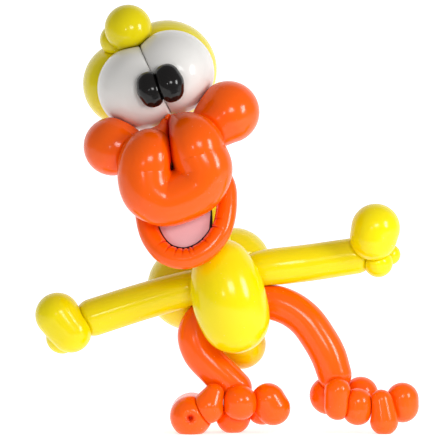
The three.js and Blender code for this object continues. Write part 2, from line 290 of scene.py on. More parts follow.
@dataclass(frozen=True)
class CardFinish:
    """Matt paper card with a faint tooth."""

    name: str
    colour: Colour

    def build(self) -> bpy.types.Material:
        """Make the material.

        Returns:
            The material.
        """
        shader = Shader(self.name)
        fibres = shader.noise(900.0, 3.0, 0.6)
        clouds = shader.noise(25.0)
        pale = tuple(min(1.0, channel * 1.08 + 0.01) for channel in self.colour)
        tone = shader.mix(shader.ramp(clouds * 0.6 + fibres * 0.4, 0.3, 0.7), (*self.colour, 1.0), (*pale, 1.0))
        tooth = shader.node("ShaderNodeBump", None, Strength=0.25, Distance=0.0002, Height=fibres)
        return shader.finish(Base_Color=tone, Roughness=0.75 + fibres * 0.1, Normal=shader.out(tooth))


FINISHES = {
    Rubber.YELLOW: LatexFinish("yellow latex", (0.88, 0.73, 0.0), (0.66, 0.44, 0.0)),
    Rubber.ORANGE: LatexFinish("orange latex", (1.0, 0.115, 0.0), (0.72, 0.018, 0.0)),
    Rubber.WHITE: LatexFinish("white latex", (0.83, 0.81, 0.78), (0.74, 0.71, 0.66), dust=0.0),
    Rubber.BLACK: LatexFinish("black latex", (0.006, 0.005, 0.005), (0.012, 0.006, 0.005), 0.15, dust=0.0),
}
CARDS = {
    Stock.PINK: CardFinish("pink card", (0.74, 0.47, 0.5)),
    # The black card is the tongue's black border, and painted shadow at its lower corner.
    Stock.BLACK: CardFinish("black card", (0.010, 0.008, 0.008)),
}


def unit(vector: np.ndarray) -> np.ndarray:
    """Give vectors a length of one."""
    return vector / np.maximum(np.linalg.norm(vector, axis=-1, keepdims=True), 1e-12)


def smooth_curve(points: np.ndarray, shares: np.ndarray, even: bool = False) -> np.ndarray:
    """Run a smooth curve through points, with knots spaced by the root of their distance.

    Args:
        points: The points, one row each.
        shares: Places along the curve, 0 to 1.
        even: Whether the knots are evenly spaced instead, as for a girth.

    Returns:
        A row for each share.
    """
    ends = np.vstack([2 * points[:1] - points[1:2], points, 2 * points[-1:] - points[-2:-1]])
    place = np.clip(shares, 0.0, 1.0) * (len(points) - 1)
    first = np.minimum(place.astype(int), len(points) - 2)
    within = (place - first)[:, None]
    p0, p1, p2, p3 = (ends[first + step] for step in range(4))
    knots = [np.sqrt(np.linalg.norm(b - a, axis=1, keepdims=True)) for a, b in ((p0, p1), (p1, p2), (p2, p3))]
    if even:
        knots = [np.ones_like(knot) for knot in knots]
    middle = np.where(knots[1] < 1e-4, 1.0, knots[1])
    before = np.where(knots[0] < 1e-4, middle, knots[0])
    after = np.where(knots[2] < 1e-4, middle, knots[2])
    start = ((p1 - p0) / before - (p2 - p0) / (before + middle) + (p2 - p1) / middle) * middle
    finish = ((p2 - p1) / middle - (p3 - p1) / (middle + after) + (p3 - p2) / after) * middle
    square = -3 * p1 + 3 * p2 - 2 * start - finish
    cube = 2 * p1 - 2 * p2 + start + finish
    return p1 + start * within + square * within**2 + cube * within**3


@dataclass(frozen=True)
class Fold:
    """A small wrinkle across a bubble, at the place on the skin that lies nearest to a point.

    Attributes:
        place: The point.
        width: The groove's half width along the bubble.
        depth: Its depth.
        spread: How far it runs round the bubble, in radians.
        swell: The swelling beside it, as a share of its depth.
        swell_widths: The half width that the groove and the swelling take up, in widths.
        reach_widths: How far along the bubble it is felt, in widths.
        slack_and_shade: How deep the colour is in the groove, for slack rubber and painted shade.
    """

    place: tuple[float, float, float]
    width: float
    depth: float
    spread: float
    swell: float = 0.3
    swell_widths: float = 2.4
    reach_widths: float = 8.0
    slack_and_shade: float = 0.9


@dataclass(frozen=True)
class Crease:
    """The flat fold where the two halves of the beak's loop press on each other.

    It runs from the top down to the foot, both given across and up the face. Below the release
    the halves bend round into one tube, and hold each other back less and less.

    Attributes:
        top: Where it starts.
        foot: Where it ends.
        release: The height below which the halves let go of each other.
        release_rate: How fast they let go.
        gap: Between the halves.
        crease_shade_width: How far to the side the painted shade along the crease reaches.
        crease_shade_from: The height where that painted shade starts.
        crease_shade_fade: How far up from there it is at full strength.
        slit: The lowest and highest end of the painted shade in the slit.
        slit_width: The half width of the slit's painted shade.
        slit_fades: How far it tapers at its two ends.
        slit_shade: How strong the slit's painted shade is; above 1 the colour goes to near black painted shade.
    """

    top: tuple[float, float] = (13.0, 68.0)
    foot: tuple[float, float] = (-0.3, 8.5)
    release: float = 7.0
    release_rate: float = 0.12
    gap: float = 0.02
    crease_shade_width: float = 4.5
    crease_shade_from: float = -5.0
    crease_shade_fade: float = 8.0
    slit: tuple[float, float] = (-2.0, 13.0)
    slit_width: float = 2.3
    slit_fades: tuple[float, float] = (3.0, 5.0)
    slit_shade: float = 1.2

    def past(self, points: np.ndarray, middles: np.ndarray) -> np.ndarray:
        """Tell which points lie past the crease, seen from their middles.

        Args:
            points: Points near the skin.
            middles: The middle that each point's ray starts from.

        Returns:
            True for each point that the other half holds back.
        """
        below = np.maximum(self.release - (points - BEAK_MIDDLE) @ HEAD_UP, 0.0)
        return self.sideways(points) * np.sign(self.sideways(middles)) < self.gap - self.release_rate * below**2

    def sideways(self, places: np.ndarray) -> np.ndarray:
        """Measure how far places are to one side of the crease.

        Args:
            places: One row each.

        Returns:
            The distances, more than 0 on the duck's left.
        """
        run = np.array([self.top[0] - self.foot[0], self.top[1] - self.foot[1]])
        run = run / np.linalg.norm(run)
        across = (places - BEAK_MIDDLE) @ HEAD_ACROSS - self.top[0]
        rise = (places - BEAK_MIDDLE) @ HEAD_UP - self.top[1]
        return across * run[1] - rise * run[0]

    def slack_and_shade_level(self, points: np.ndarray) -> np.ndarray:
        """Paint shade along the crease, and deeper shade inside the slit at its foot.

        Args:
            points: Points on the skin.

        Returns:
            0 to 1 for the painted shade along the crease, more for the painted shade inside the slit.
        """
        rise = (points - BEAK_MIDDLE) @ HEAD_UP
        aside = np.abs(self.sideways(points))
        # Painted shade along the crease, and stronger painted shade inside the slit below.
        fold = np.exp(-((aside / self.crease_shade_width) ** 2))
        fold *= np.clip((rise - self.crease_shade_from) / self.crease_shade_fade, 0.0, 1.0)
        (low, high), (low_fade, high_fade) = self.slit, self.slit_fades
        window = np.clip((rise - low) / low_fade, 0.0, 1.0) * np.clip((high - rise) / high_fade, 0.0, 1.0)
        return fold + self.slit_shade * window * np.exp(-((aside / (self.slit_width * window + 0.1)) ** 4))


@dataclass
class Bubble:
    """One bubble of a balloon, swept along a short curve.

    Attributes:
        stations: Its middles and radii along the curve; a single one makes a round.
        sides: Points round it.
        rings: Rings along the curve.
        caps: Rings over each end.
        tips: How deep the first and the last tip are drawn in, as a share of the radius.
        pucker: Wrinkles round a tip.
        folds: Wrinkles across it.
        crease: The fold where its two halves meet, if it is the beak's loop.
        skeleton: The stations with more between them.
    """

    stations: Sequence[Station]
    sides: int = 64
    rings: int = 16
    caps: int = 22
    tips: tuple[float, float] = (0.0, 0.0)
    pucker: int = 11
    folds: Sequence[Fold] = ()
    crease: Optional[Crease] = None
    skeleton: np.ndarray = field(init=False)

    def __post_init__(self) -> None:
        """Work out the line of middles that contacts are measured from."""
        table = np.array(self.stations, float)
        if len(table) == 1:
            self.skeleton = table
            return
        shares = np.linspace(0.0, 1.0, 6 * (len(table) - 1) + 1)
        self.skeleton = np.hstack([
            smooth_curve(table[:, :3], shares),
            smooth_curve(table[:, 3:], shares, even=True),
        ])

    def sample(self, shares: np.ndarray) -> tuple[np.ndarray, np.ndarray, np.ndarray, np.ndarray]:
        """Follow the bubble.

        Args:
            shares: Places along it, 0 to 1.

        Returns:
            The middles, the radii, the directions and how fast the radius grows.
        """
        table = np.array(self.stations, float)
        if len(table) == 1:
            count = len(shares)
            upright = np.tile([0.0, 0.0, 1.0], (count, 1))
            return np.tile(table[0, :3], (count, 1)), np.full(count, table[0, 3]), upright, np.zeros(count)
        step = 1e-3
        before, after = np.maximum(shares - step, 0.0), np.minimum(shares + step, 1.0)
        run = smooth_curve(table[:, :3], after) - smooth_curve(table[:, :3], before)
        girths = smooth_curve(table[:, 3:], np.concatenate([before, shares, after]), even=True)[:, 0]
        narrower, radius, wider = np.split(girths, 3)
        gain = wider - narrower
        taper = np.clip(gain / np.maximum(np.linalg.norm(run, axis=1), 1e-9), -0.9, 0.9)
        return smooth_curve(table[:, :3], shares), radius, unit(run), taper

    def nearest(self, points: np.ndarray) -> tuple[np.ndarray, np.ndarray]:
        """Find the nearest middle to each point.

        Args:
            points: One row each.

        Returns:
            The middles, and how far each point is outside the skin, as a square.
        """
        if len(self.skeleton) == 1:
            middle = np.broadcast_to(self.skeleton[0, :3], points.shape)
            return middle, ((points - middle) ** 2).sum(1) - self.skeleton[0, 3] ** 2
        a, b = self.skeleton[:-1], self.skeleton[1:]
        span = b[:, :3] - a[:, :3]
        offset = points[:, None, :] - a[None, :, :3]
        share = np.clip((offset * span).sum(2) / (span**2).sum(1), 0.0, 1.0)
        middle = a[None, :, :3] + share[..., None] * span
        radius = a[None, :, 3] + share * (b[:, 3] - a[:, 3])[None]
        outside = ((points[:, None, :] - middle) ** 2).sum(2) - radius**2
        best = outside.argmin(1)
        rows = np.arange(len(points))
        return middle[rows, best], outside[rows, best]

    def touches(self, other: "Bubble") -> bool:
        """Tell whether another bubble could press on this one.

        Args:
            other: The other bubble.

        Returns:
            True if the two come near each other.
        """
        gap = np.linalg.norm(self.skeleton[:, None, :3] - other.skeleton[None, :, :3], axis=2)
        reach = self.skeleton[:, None, 3] + other.skeleton[None, :, 3]
        return bool((gap < reach + TOUCH_MARGIN).any())

    def rays(self) -> dict[str, np.ndarray]:
        """Lay rings of rays from the middle of the air to the skin.

        Returns:
            The middles, the reaches, the share of the way to a tip, and the turn about the bubble.
        """
        inner = np.linspace(0.0, 1.0, self.rings + 1) if len(self.stations) > 1 else np.array([0.0])
        shares = np.concatenate([np.zeros(self.caps), inner, np.ones(self.caps)])
        middles, radii, along, growth = self.sample(shares)
        even_out = 6
        growth = np.pad(growth[self.caps:-self.caps], even_out, mode="edge")
        growth = np.convolve(growth, np.full(2 * even_out + 1, 1 / (2 * even_out + 1)), "valid")
        steps = np.arange(self.caps) / self.caps
        turn = np.concatenate([
            math.pi - math.acos(growth[0]) * steps,
            np.arccos(-growth),
            math.acos(-growth[-1]) * (1 - steps - 1 / self.caps),
        ])
        side = np.array([0.0, 0.0, -1.0])
        if abs(along[0][2]) > 0.9:
            side = np.array([0.0, -1.0, 0.0])
        round_turn = (np.arange(self.sides) + 0.5) / self.sides * 2 * math.pi
        rows = []
        for index in range(len(shares)):
            side = unit(side - along[index] * side.dot(along[index]))
            third = np.cross(along[index], side)
            ring = np.cos(round_turn)[:, None] * side + np.sin(round_turn)[:, None] * third
            rows.append(math.cos(turn[index]) * along[index] + math.sin(turn[index]) * ring)
        return {
            "middle": np.repeat(middles, self.sides, axis=0),
            "radius": np.repeat(radii, self.sides),
            "aim": np.concatenate(rows),
            "turn": np.repeat(turn, self.sides),
            "share": np.repeat(shares, self.sides),
            "round": np.tile(round_turn, len(shares)),
        }

    def skin(self, others: Iterable["Bubble"]) -> "Skin":
        """Blow the bubble up against its neighbours.

        Args:
            others: Every other bubble of the duck.

        Returns:
            The closed skin.
        """
        rays = self.rays()
        middle, aim = rays["middle"], unit(rays["aim"])
        reach = rays["radius"].copy()
        slack_and_shade = np.zeros(len(reach))
        for tip, turn in zip(self.tips, (math.pi - rays["turn"], rays["turn"])):
            if tip <= 0.0:
                continue
            at_tip = np.exp(-((turn / TIP_SPREAD) ** 2))
            wrinkle = 0.5 + 0.5 * np.cos(rays["round"] * self.pucker + 1.3 * np.sin(3 * rays["round"]))
            reach *= 1.0 - tip * at_tip * (1.0 - PUCKER_DEPTH + PUCKER_DEPTH * wrinkle)
            slack_and_shade = np.maximum(slack_and_shade, at_tip)
        for fold in self.folds:
            reach, crease = wrinkled(middle, aim, reach, fold, self.sides)
            # Each groove gets deeper colour: slack rubber and painted shade.
            slack_and_shade = np.maximum(slack_and_shade, crease)
        soften = RIM_WIDTH + RIM_PER_RADIUS * float(self.skeleton[:, 3].max())
        reach = pressed_reach(self, middle, aim, reach, others, soften)
        points = middle + aim * reach[:, None]
        # The crease adds painted shade along itself and inside the slit.
        if self.crease:
            slack_and_shade = np.maximum(slack_and_shade, self.crease.slack_and_shade_level(points))
        return Skin.from_rings(points, slack_and_shade, self.sides)


def wrinkled(
    middle: np.ndarray, aim: np.ndarray, reach: np.ndarray, fold: Fold, sides: int,
) -> tuple[np.ndarray, np.ndarray]:
    """Pinch a wrinkle into the skin, with the rubber swelling a little on both sides of it.

    Args:
        middle: Where each ray starts.
        aim: Its direction.
        reach: Its free length.
        fold: The wrinkle.
        sides: Rays in a ring.

    Returns:
        The new lengths, and how deep the colour is there, for slack rubber and painted shade in the groove.
    """
    place = np.array(fold.place)
    nearest = np.linalg.norm(middle + aim * reach[:, None] - place, axis=1).argmin()
    towards = unit(place - middle[nearest])
    run_of_tube = middle[nearest + sides] - middle[nearest - sides]
    along = unit(run_of_tube - towards * run_of_tube.dot(towards))
    run = (middle + aim * reach[:, None] - place) @ along
    swing = np.arccos(np.clip(aim @ towards, -1.0, 1.0))
    close = np.exp(-((swing / fold.spread) ** 2))
    close *= np.linalg.norm(middle - middle[nearest], axis=1) < fold.reach_widths * fold.width
    groove = np.exp(-((run / fold.width) ** 2))
    swell = fold.swell * np.exp(-((run / (fold.swell_widths * fold.width)) ** 2))
    return reach - fold.depth * close * (groove - swell), fold.slack_and_shade * close * groove


def pressed_reach(
    bubble: Bubble, middle: np.ndarray, aim: np.ndarray, reach: np.ndarray,
    others: Iterable[Bubble], soften: float,
) -> np.ndarray:
    """Shorten rays where a neighbour or the floor presses on the skin.

    Args:
        bubble: The bubble that is blown up.
        middle: Where each ray starts.
        aim: Its direction.
        reach: Its free length.
        others: The neighbours.
        soften: How wide the rounded rim of a contact is.

    Returns:
        The length of each ray.
    """
    limits: list[Union[Bubble, Crease]] = [other for other in others if bubble.touches(other)]
    if bubble.crease:
        limits.append(bubble.crease)
    for limit in limits:
        longest = reach + soften

        def pressed(rows: np.ndarray, length: np.ndarray) -> np.ndarray:
            """Tell which points lie beyond the contact."""
            here = middle[rows] + aim[rows] * length[:, None]
            if isinstance(limit, Crease):
                return limit.past(here, middle[rows])
            ours, out_of_ours = bubble.nearest(here)
            theirs, out_of_theirs = limit.nearest(here)
            gap = CONTACT_GAP * np.linalg.norm(ours - theirs, axis=1)
            return out_of_ours + gap > out_of_theirs

        rows = np.arange(len(reach))
        rows = rows[pressed(rows, longest)]
        if not len(rows):
            continue
        low, high = np.zeros(len(rows)), longest[rows].copy()
        for _ in range(CONTACT_STEPS):
            half = (low + high) / 2
            beyond = pressed(rows, half)
            high = np.where(beyond, half, high)
            low = np.where(beyond, low, half)
        rim = soften * (CREASE_RIM if isinstance(limit, Crease) else 1.0)
        blend = np.clip(0.5 + 0.5 * (low - reach[rows]) / rim, 0.0, 1.0)
        reach[rows] = low * (1 - blend) + reach[rows] * blend - rim * blend * (1 - blend)
    falls = aim[:, 2] < -1e-6
    to_floor = np.where(falls, middle[:, 2] / np.maximum(-aim[:, 2], 1e-6), 1e9)
    return np.minimum(reach, to_floor)


@dataclass
class Skin:
    """Points, faces, and how deep the colour is at each point, for slack rubber and painted shade."""

    points: np.ndarray
    faces: list[tuple[int, ...]]
    slack_and_shade: np.ndarray

    @classmethod
    def from_rings(cls, points: np.ndarray, slack_and_shade: np.ndarray, sides: int) -> "Skin":
        """Close rings of points, whose first and last rings are tips.

        Args:
            points: The points, ring by ring.
            slack_and_shade: How deep the colour is at each point, for slack rubber and painted shade.
            sides: Points in a ring.

        Returns:
            The closed skin.
        """
        rings = len(points) // sides
        kept = np.concatenate([points[:sides].mean(0)[None], points[sides:-sides], points[-sides:].mean(0)[None]])
        kept_slack_and_shade = np.concatenate([slack_and_shade[:1], slack_and_shade[sides:-sides], slack_and_shade[-1:]])
        faces: list[tuple[int, ...]] = []
        last = len(kept) - 1
        for k in range(sides):
            after = (k + 1) % sides
            faces.append((0, 1 + after, 1 + k))
            faces.append((last, last - sides + k, last - sides + after))
        for ring in range(rings - 3):
            low, high = 1 + ring * sides, 1 + (ring + 1) * sides
            for k in range(sides):
                after = (k + 1) % sides
                faces.append((low + k, low + after, high + after, high + k))
        return cls(kept, faces, kept_slack_and_shade)

    def joined(self, other: "Skin") -> "Skin":
        """Put two skins in one mesh.

        Args:
            other: The second skin.

        Returns:
            Both, as two closed shells.
        """
        shifted = [tuple(corner + len(self.points) for corner in face) for face in other.faces]
        return Skin(
            np.vstack([self.points, other.points]),
            self.faces + shifted,
            np.concatenate([self.slack_and_shade, other.slack_and_shade]),
        )


def added(name: str, data: bpy.types.ID) -> bpy.types.Object:
    """Put new data in the scene.

    Args:
        name: The object's name.
        data: Its mesh, lamp or camera.

    Returns:
        The object.
    """
    made = bpy.data.objects.new(name, data)
    bpy.context.scene.collection.objects.link(made)
    return made


def mesh_object(name: str, skin: Skin, material: bpy.types.Material) -> bpy.types.Object:
    """Make a smooth mesh object in the model's own frame.

    Args:
        name: The piece's name.
        skin: Its points and faces, in millimetres.
        material: Its finish.

    Returns:
        The object.
    """
    mesh = bpy.data.meshes.new(name)
    mesh.from_pydata(((skin.points + ORIGIN_SHIFT) * MM).tolist(), [], skin.faces)
    mesh.validate()
    slack_and_shade = mesh.attributes.new("slack_and_shade", "FLOAT", "POINT")
    slack_and_shade.data.foreach_set("value", skin.slack_and_shade.astype(np.float32))
    mesh.polygons.foreach_set("use_smooth", [True] * len(mesh.polygons))
    mesh.materials.append(material)
    return added(name, mesh)


def station(place: Sequence[float], radius: float) -> Station:
    """Give the middle and the radius of a bubble at one place."""
    return (float(place[0]), float(place[1]), float(place[2]), radius)


def near(place: Sequence[float], offset: Sequence[float], radius: float) -> Station:
    """Give a station near a place."""
    return station(np.asarray(place, float) + np.asarray(offset, float), radius)


def ball_on(carrier: Station, towards: Sequence[float], radius: float, press: float) -> Station:
    """Seat a ball on another one, pressed into it.

    Args:
        carrier: The station that carries it.
        towards: The direction from the one to the other.
        radius: The ball's radius.
        press: How far it sinks in.

    Returns:
        The ball's station.
    """
    way = unit(np.array(towards, float))
    return station(np.array(carrier[:3]) + way * (carrier[3] + radius - press), radius)


def face_point(across: float, rise: float, back: float = 0.0) -> np.ndarray:
    """Give a point across, up and back from the middle of the beak, in the tilted head."""
    return BEAK_MIDDLE + HEAD_ACROSS * across + HEAD_UP * rise + np.array([0.0, back, 0.0])


@dataclass
class Balloon:
    """One inflated balloon: the node that it replaces, its colour and its bubbles."""

    node: str
    rubber: Rubber
    bubbles: list[Bubble]


@dataclass
class Head:
    """The yellow rounds, the tuft on top, and the white eyes with their black pupils."""

    right_radius: float = 59.0
    left_radius: float = 70.0
    tuft_radius: float = 33.0
    button_radius: float = 24.0
    tuft_press: float = 7.3
    eye_radius: float = 59.5
    pupil_right: float = 19.5
    pupil_left: float = 21.0
    pupil_stretch: float = 0.45
    pupil_taper: float = 0.87

    def pupil(self, middle: Sequence[float], radius: float) -> Bubble:
        """Make one pupil, an egg that is longer up the head than across it.

        Args:
            middle: Its middle.
            radius: Its half width.

        Returns:
            The pupil.
        """
        half = HEAD_UP * radius * self.pupil_stretch
        ends = [near(middle, half * side, radius * self.pupil_taper) for side in (1, -1)]
        return Bubble([ends[0], station(middle, radius), ends[1]], 72, 12, 26, tips=(0.04, 0.04))

    def balloons(self) -> list[Balloon]:
        """List the head's balloons.

        Returns:
            One item for each.
        """
        left = station((-80, 38, 507), self.left_radius)
        eye_right = station((-117.5, -34, 485), self.eye_radius)
        eye_left = station((-73, -34, 506), self.eye_radius)
        right = station((-139, 32, 488), self.right_radius)
        return [
            Balloon("head_round_right", Rubber.YELLOW, [Bubble([right], 112, 1, 40)]),
            Balloon("head_round_left", Rubber.YELLOW, [Bubble([left], 112, 1, 40)]),
            Balloon("tuft", Rubber.YELLOW, [
                Bubble([ball_on(eye_right, (-16.5, 12, 83), self.tuft_radius, self.tuft_press)], 80, 1, 30),
                Bubble([ball_on(left, (-70, -28, 43), self.button_radius, self.tuft_press)], 64, 1, 24),
            ]),
            Balloon("eye_right", Rubber.WHITE, [Bubble([eye_right], 120, 1, 42)]),
            Balloon("eye_left", Rubber.WHITE, [Bubble([eye_left], 120, 1, 42)]),
            Balloon("pupils", Rubber.BLACK, [
                self.pupil((-102, -102, 485), self.pupil_right),
                self.pupil((-76.5, -104, 494), self.pupil_left),
            ]),
        ]


@dataclass
class Beak:
    """One fat orange balloon: a cheek, the folded loop of the beak and the other cheek."""

    side_radius: float = 39.5
    lip_radius: float = 37.5
    slit: float = 2.0
    cheek_right: float = 41.0
    cheek_left: float = 43.5
    crease: Crease = Crease()

    def loop(self) -> Bubble:
        """Make the loop, whose two ends meet at the knot under the eyes.

        Returns:
            The loop.
        """
        side, lip, wide = self.side_radius, self.lip_radius, self.side_radius + self.slit
        route = [
            (-0.7, 28, side * 0.93), (-0.91, 10, side), (-0.98, -18, side),
            (-0.62, -36, lip), (0.05, -38, lip), (0.66, -31, lip),
            (0.98, -12, side), (0.93, 10, side), (0.95, 27, side * 0.96),
        ]
        tip = TWIST_RADIUS * 0.7
        return Bubble([
            station(face_point(9, 67, 47), tip),
            station(face_point(2.5, 55, 40), side * 0.27),
            station(face_point(-15.5, 40.5, 23), side * 0.58),
            *(station(face_point(share * wide, rise), radius) for share, rise, radius in route),
            station(face_point(33, 43, 21), side * 0.72),
            station(face_point(23, 60, 39), side * 0.31),
            station(face_point(17, 67, 47), tip),
        ], 192, 240, 14, crease=self.crease)

    def balloons(self) -> list[Balloon]:
        """List the beak's balloon.

        Returns:
            One item for each.
        """
        knot = face_point(*self.crease.top, 47)
        inner = near(knot, (0, 8, -14), TWIST_RADIUS + 3)
        right = [station((-155, -59, 404), self.cheek_right),
                 station(face_point(-37, 32, 36), self.cheek_right * 0.6), inner]
        left = [station((6, -59, 452), self.cheek_left),
                station(face_point(46, 34, 36), self.cheek_left * 0.55), inner]
        return [Balloon("beak_and_cheeks", Rubber.ORANGE, [
            self.loop(),
            Bubble([station(knot, TWIST_RADIUS * 0.8)], 32, 1, 10),
            Bubble(right, 88, 34, 26),
            Bubble(left, 88, 34, 26),
        ])]


JAW_ROUTE = [(-28, -18), (-48, 20), (-57, 56), (-56, 80), (-45, 104), (-22, 118),
             (3, 118), (23, 109.5), (41, 94), (57, 64), (62, 32), (38, -22)]


@dataclass(frozen=True)
class CardCut:
    """How a card is cut: its place behind the jaw, its edge, and the straight cut on the left."""

    set_back: float
    inset: float
    cut_across: float
    cut_lean: float


@dataclass
class Mouth:
    """The thin orange jaw loop, and the pink and black cards inside it.

    Attributes:
        jaw_radius: The jaw tube's radius.
        lean: How far the jaw comes forward for each millimetre down.
        card_thickness: Of both cards.
        card_bevel: How far their edges are rounded.
        card_steps: Points round a card.
        card_start: Where on the jaw's route a card's outline starts, and as far from its end it ends.
        cut_down: The height that a card's straight cut is measured from.
        tongue_clearance: From the pink card to the jaw.
        backing_clearance: From the black card to the jaw.
        backing_set_back: How far the black card lies behind the jaw's middle.
        wrinkles: Across, down and depth of each wrinkle on the inside of the jaw.
    """

    jaw_radius: float = 14.5
    lean: float = 0.42
    card_thickness: float = 1.6
    card_bevel: float = 0.25
    card_steps: int = 90
    card_start: float = 0.19
    cut_down: float = 63.0
    tongue_clearance: float = 1.5
    backing_clearance: float = 1.0
    backing_set_back: float = 11.0
    wrinkles: Sequence[tuple[float, float, float]] = (
        (-40.0, 86.0, 1.2), (-35.0, 94.5, 2.0), (-27.0, 100.5, 2.2), (-19.5, 104.0, 1.4),
        (-12.0, 105.0, 2.1), (-6.5, 105.0, 1.6), (12.0, 101.0, 1.0), (30.0, 87.0, 2.2), (36.0, 78.0, 0.9),
    )

    def point(self, across: float, down: float, back: float = 0.0) -> np.ndarray:
        """Give a point in the plane of the jaw."""
        root = np.array([-70.0, -47.0 - self.lean * down + back, 368.0])
        return root + HEAD_ACROSS * across - HEAD_UP * down

    def balloons(self) -> list[Balloon]:
        """List the jaw's balloon.

        Returns:
            One item for each.
        """
        last = len(JAW_ROUTE) - 1
        stations = [
            station(self.point(*place), TWIST_RADIUS if index in (0, last) else self.jaw_radius)
            for index, place in enumerate(JAW_ROUTE)
        ]
        folds = [
            Fold(tuple(self.point(across, down, -9.0)), 1.5, depth, 0.8)
            for across, down, depth in self.wrinkles
        ]
        return [Balloon("jaw", Rubber.ORANGE, [Bubble(stations, 72, 460, 12, folds=folds)])]

    def card(self, cut: CardCut) -> Skin:
        """Cut a card to lie inside the jaw loop.

        Args:
            cut: How it is cut.

        Returns:
            The card's skin, with rounded edges.
        """
        route = np.array([(across, -down, 0.0) for across, down in JAW_ROUTE])
        shares = np.linspace(self.card_start, 1 - self.card_start, self.card_steps)
        here = smooth_curve(route, shares)[:, :2]
        along = unit(smooth_curve(route, shares + 1e-3)[:, :2] - smooth_curve(route, shares - 1e-3)[:, :2])
        outline = here + np.stack([-along[:, 1], along[:, 0]], 1) * cut.inset
        edge = cut.cut_across - (-outline[:, 1] - self.cut_down) * cut.cut_lean
        outline[:, 0] = np.minimum(outline[:, 0], edge)
        centre = outline.mean(0)
        thick, bevel = self.card_thickness, self.card_bevel
        inwards = (1.0, 0.66, 0.33, 0.0)
        layers = [(0.0, share) for share in inwards]
        layers += [(bevel, 0.0), (thick - bevel, 0.0)]
        layers += [(thick, share) for share in reversed(inwards)]
        rows = []
        for depth, share in layers:
            ring = outline + (centre - outline) * share
            if share == 0.0 and depth in (0.0, thick):
                ring = ring + unit(centre - ring) * bevel
            rows.append([self.point(x, -y, cut.set_back - depth) for x, y in ring])
        points = np.array(rows[::-1]).reshape(-1, 3)
        return Skin.from_rings(points, np.zeros(len(points)), self.card_steps)

    def cuts(self) -> dict[Stock, CardCut]:
        """Give the cut of each card.

        Returns:
            The pink tongue, and the black backing, which is the tongue's black border and, at its lower corner,
            painted shadow beside the jaw.
        """
        depth = (self.backing_set_back - self.card_thickness) / math.hypot(1, self.lean)
        half_width = math.sqrt(self.jaw_radius**2 - depth**2)
        return {
            Stock.PINK: CardCut(0.0, self.jaw_radius + self.tongue_clearance, 34.5, 0.42),
            # The backing's cut reaches further out at the bottom, as painted shadow in the gap beside the jaw.
            Stock.BLACK: CardCut(self.backing_set_back, half_width + self.backing_clearance, 36.2, 0.28),
        }


@dataclass
class Body:
    """The belly, the rounds behind the arms, the tail and the hidden neck."""

    belly_top: float = 42.0
    belly: float = 52.0
    back_right: float = 60.0
    back_left: float = 52.0
    tail: float = 35.0
    neck: float = 32.0

    def balloons(self) -> list[Balloon]:
        """List the body's balloons.

        Returns:
            One item for each.
        """
        belly = [
            station((-2, -50, 232), self.belly_top), station((2, -52, 213), self.belly * 0.94),
            station((7, -53, 191), self.belly), station((12, -51, 173), self.belly * 0.98),
            station((15, -50, 163), self.belly * 0.94),
        ]
        tail = [near(BODY_TWIST, (10, 17, -36), TWIST_RADIUS), station((17, 36, 152), self.tail * 0.75),
                station((24, 42, 121), self.tail)]
        neck = [station((-66, -3, 412), self.neck * 0.75), station((-48, -3, 354), self.neck),
                station((-27, 3, 305), self.neck * 0.94), station((-11, 6, 262), self.neck * 0.7)]
        right, left = station((-48, 64, 200), self.back_right), station((14, 62, 232), self.back_left)
        return [
            Balloon("belly", Rubber.YELLOW, [Bubble(belly, 120, 40, 36)]),
            Balloon("back_round_right", Rubber.YELLOW, [Bubble([right], 104, 1, 38)]),
            Balloon("back_round_left", Rubber.YELLOW, [Bubble([left], 104, 1, 38)]),
            Balloon("tail", Rubber.YELLOW, [Bubble(tail, 80, 24, 26)]),
            Balloon("neck", Rubber.YELLOW, [Bubble(neck, 64, 36, 18)]),
        ]


@dataclass
class Arms:
    """Two yellow twisting balloons, each an arm and the bubbles of a hand."""

    radius: float = 25.5
    hand_right: float = 31.5
    hand_left: float = 34.2
    thumb_right: float = 23.0
    thumb_left: float = 20.5
    finger_left: float = 14.5

    def balloons(self) -> list[Balloon]:
        """List the arms.

        Returns:
            One item for each.
        """
        r = self.radius
        right = [
            Bubble([near(BODY_TWIST, (-10, 0, -2), TWIST_RADIUS), station((-28, 3, 208), r * 0.8),
                    station((-50, 0, 202), r), station((-118, 1, 182.5), r * 1.02),
                    station((-183, 4, 161.5), r * 1.04)], 80, 70, 20),
            Bubble([station((-233, -10, 165.5), self.hand_right), station((-222, -12, 150), self.hand_right * 0.94),
                    station((-214.5, -12, 141.5), self.hand_right * 0.92)], 80, 22, 26),
            Bubble([station((-227, 20, 132), self.thumb_right)], 64, 1, 24),
        ]
        left = [
            Bubble([near(BODY_TWIST, (12, 0, 4), TWIST_RADIUS), station((29, 4, 224), r * 0.8),
                    station((53, 0, 230), r), station((118, 1, 238), r * 1.02),
                    station((184, -1, 248), r)], 80, 70, 20),
            Bubble([station((209, -30, 276), self.hand_left * 0.97), station((212, -30, 288.5), self.hand_left)],
                   88, 8, 30),
            Bubble([station((216, -12, 239), self.thumb_left)], 64, 1, 24),
            Bubble([station((233, 11, 249), self.finger_left)], 48, 1, 18),
        ]
        return [Balloon("arm_right", Rubber.YELLOW, right), Balloon("arm_left", Rubber.YELLOW, left)]


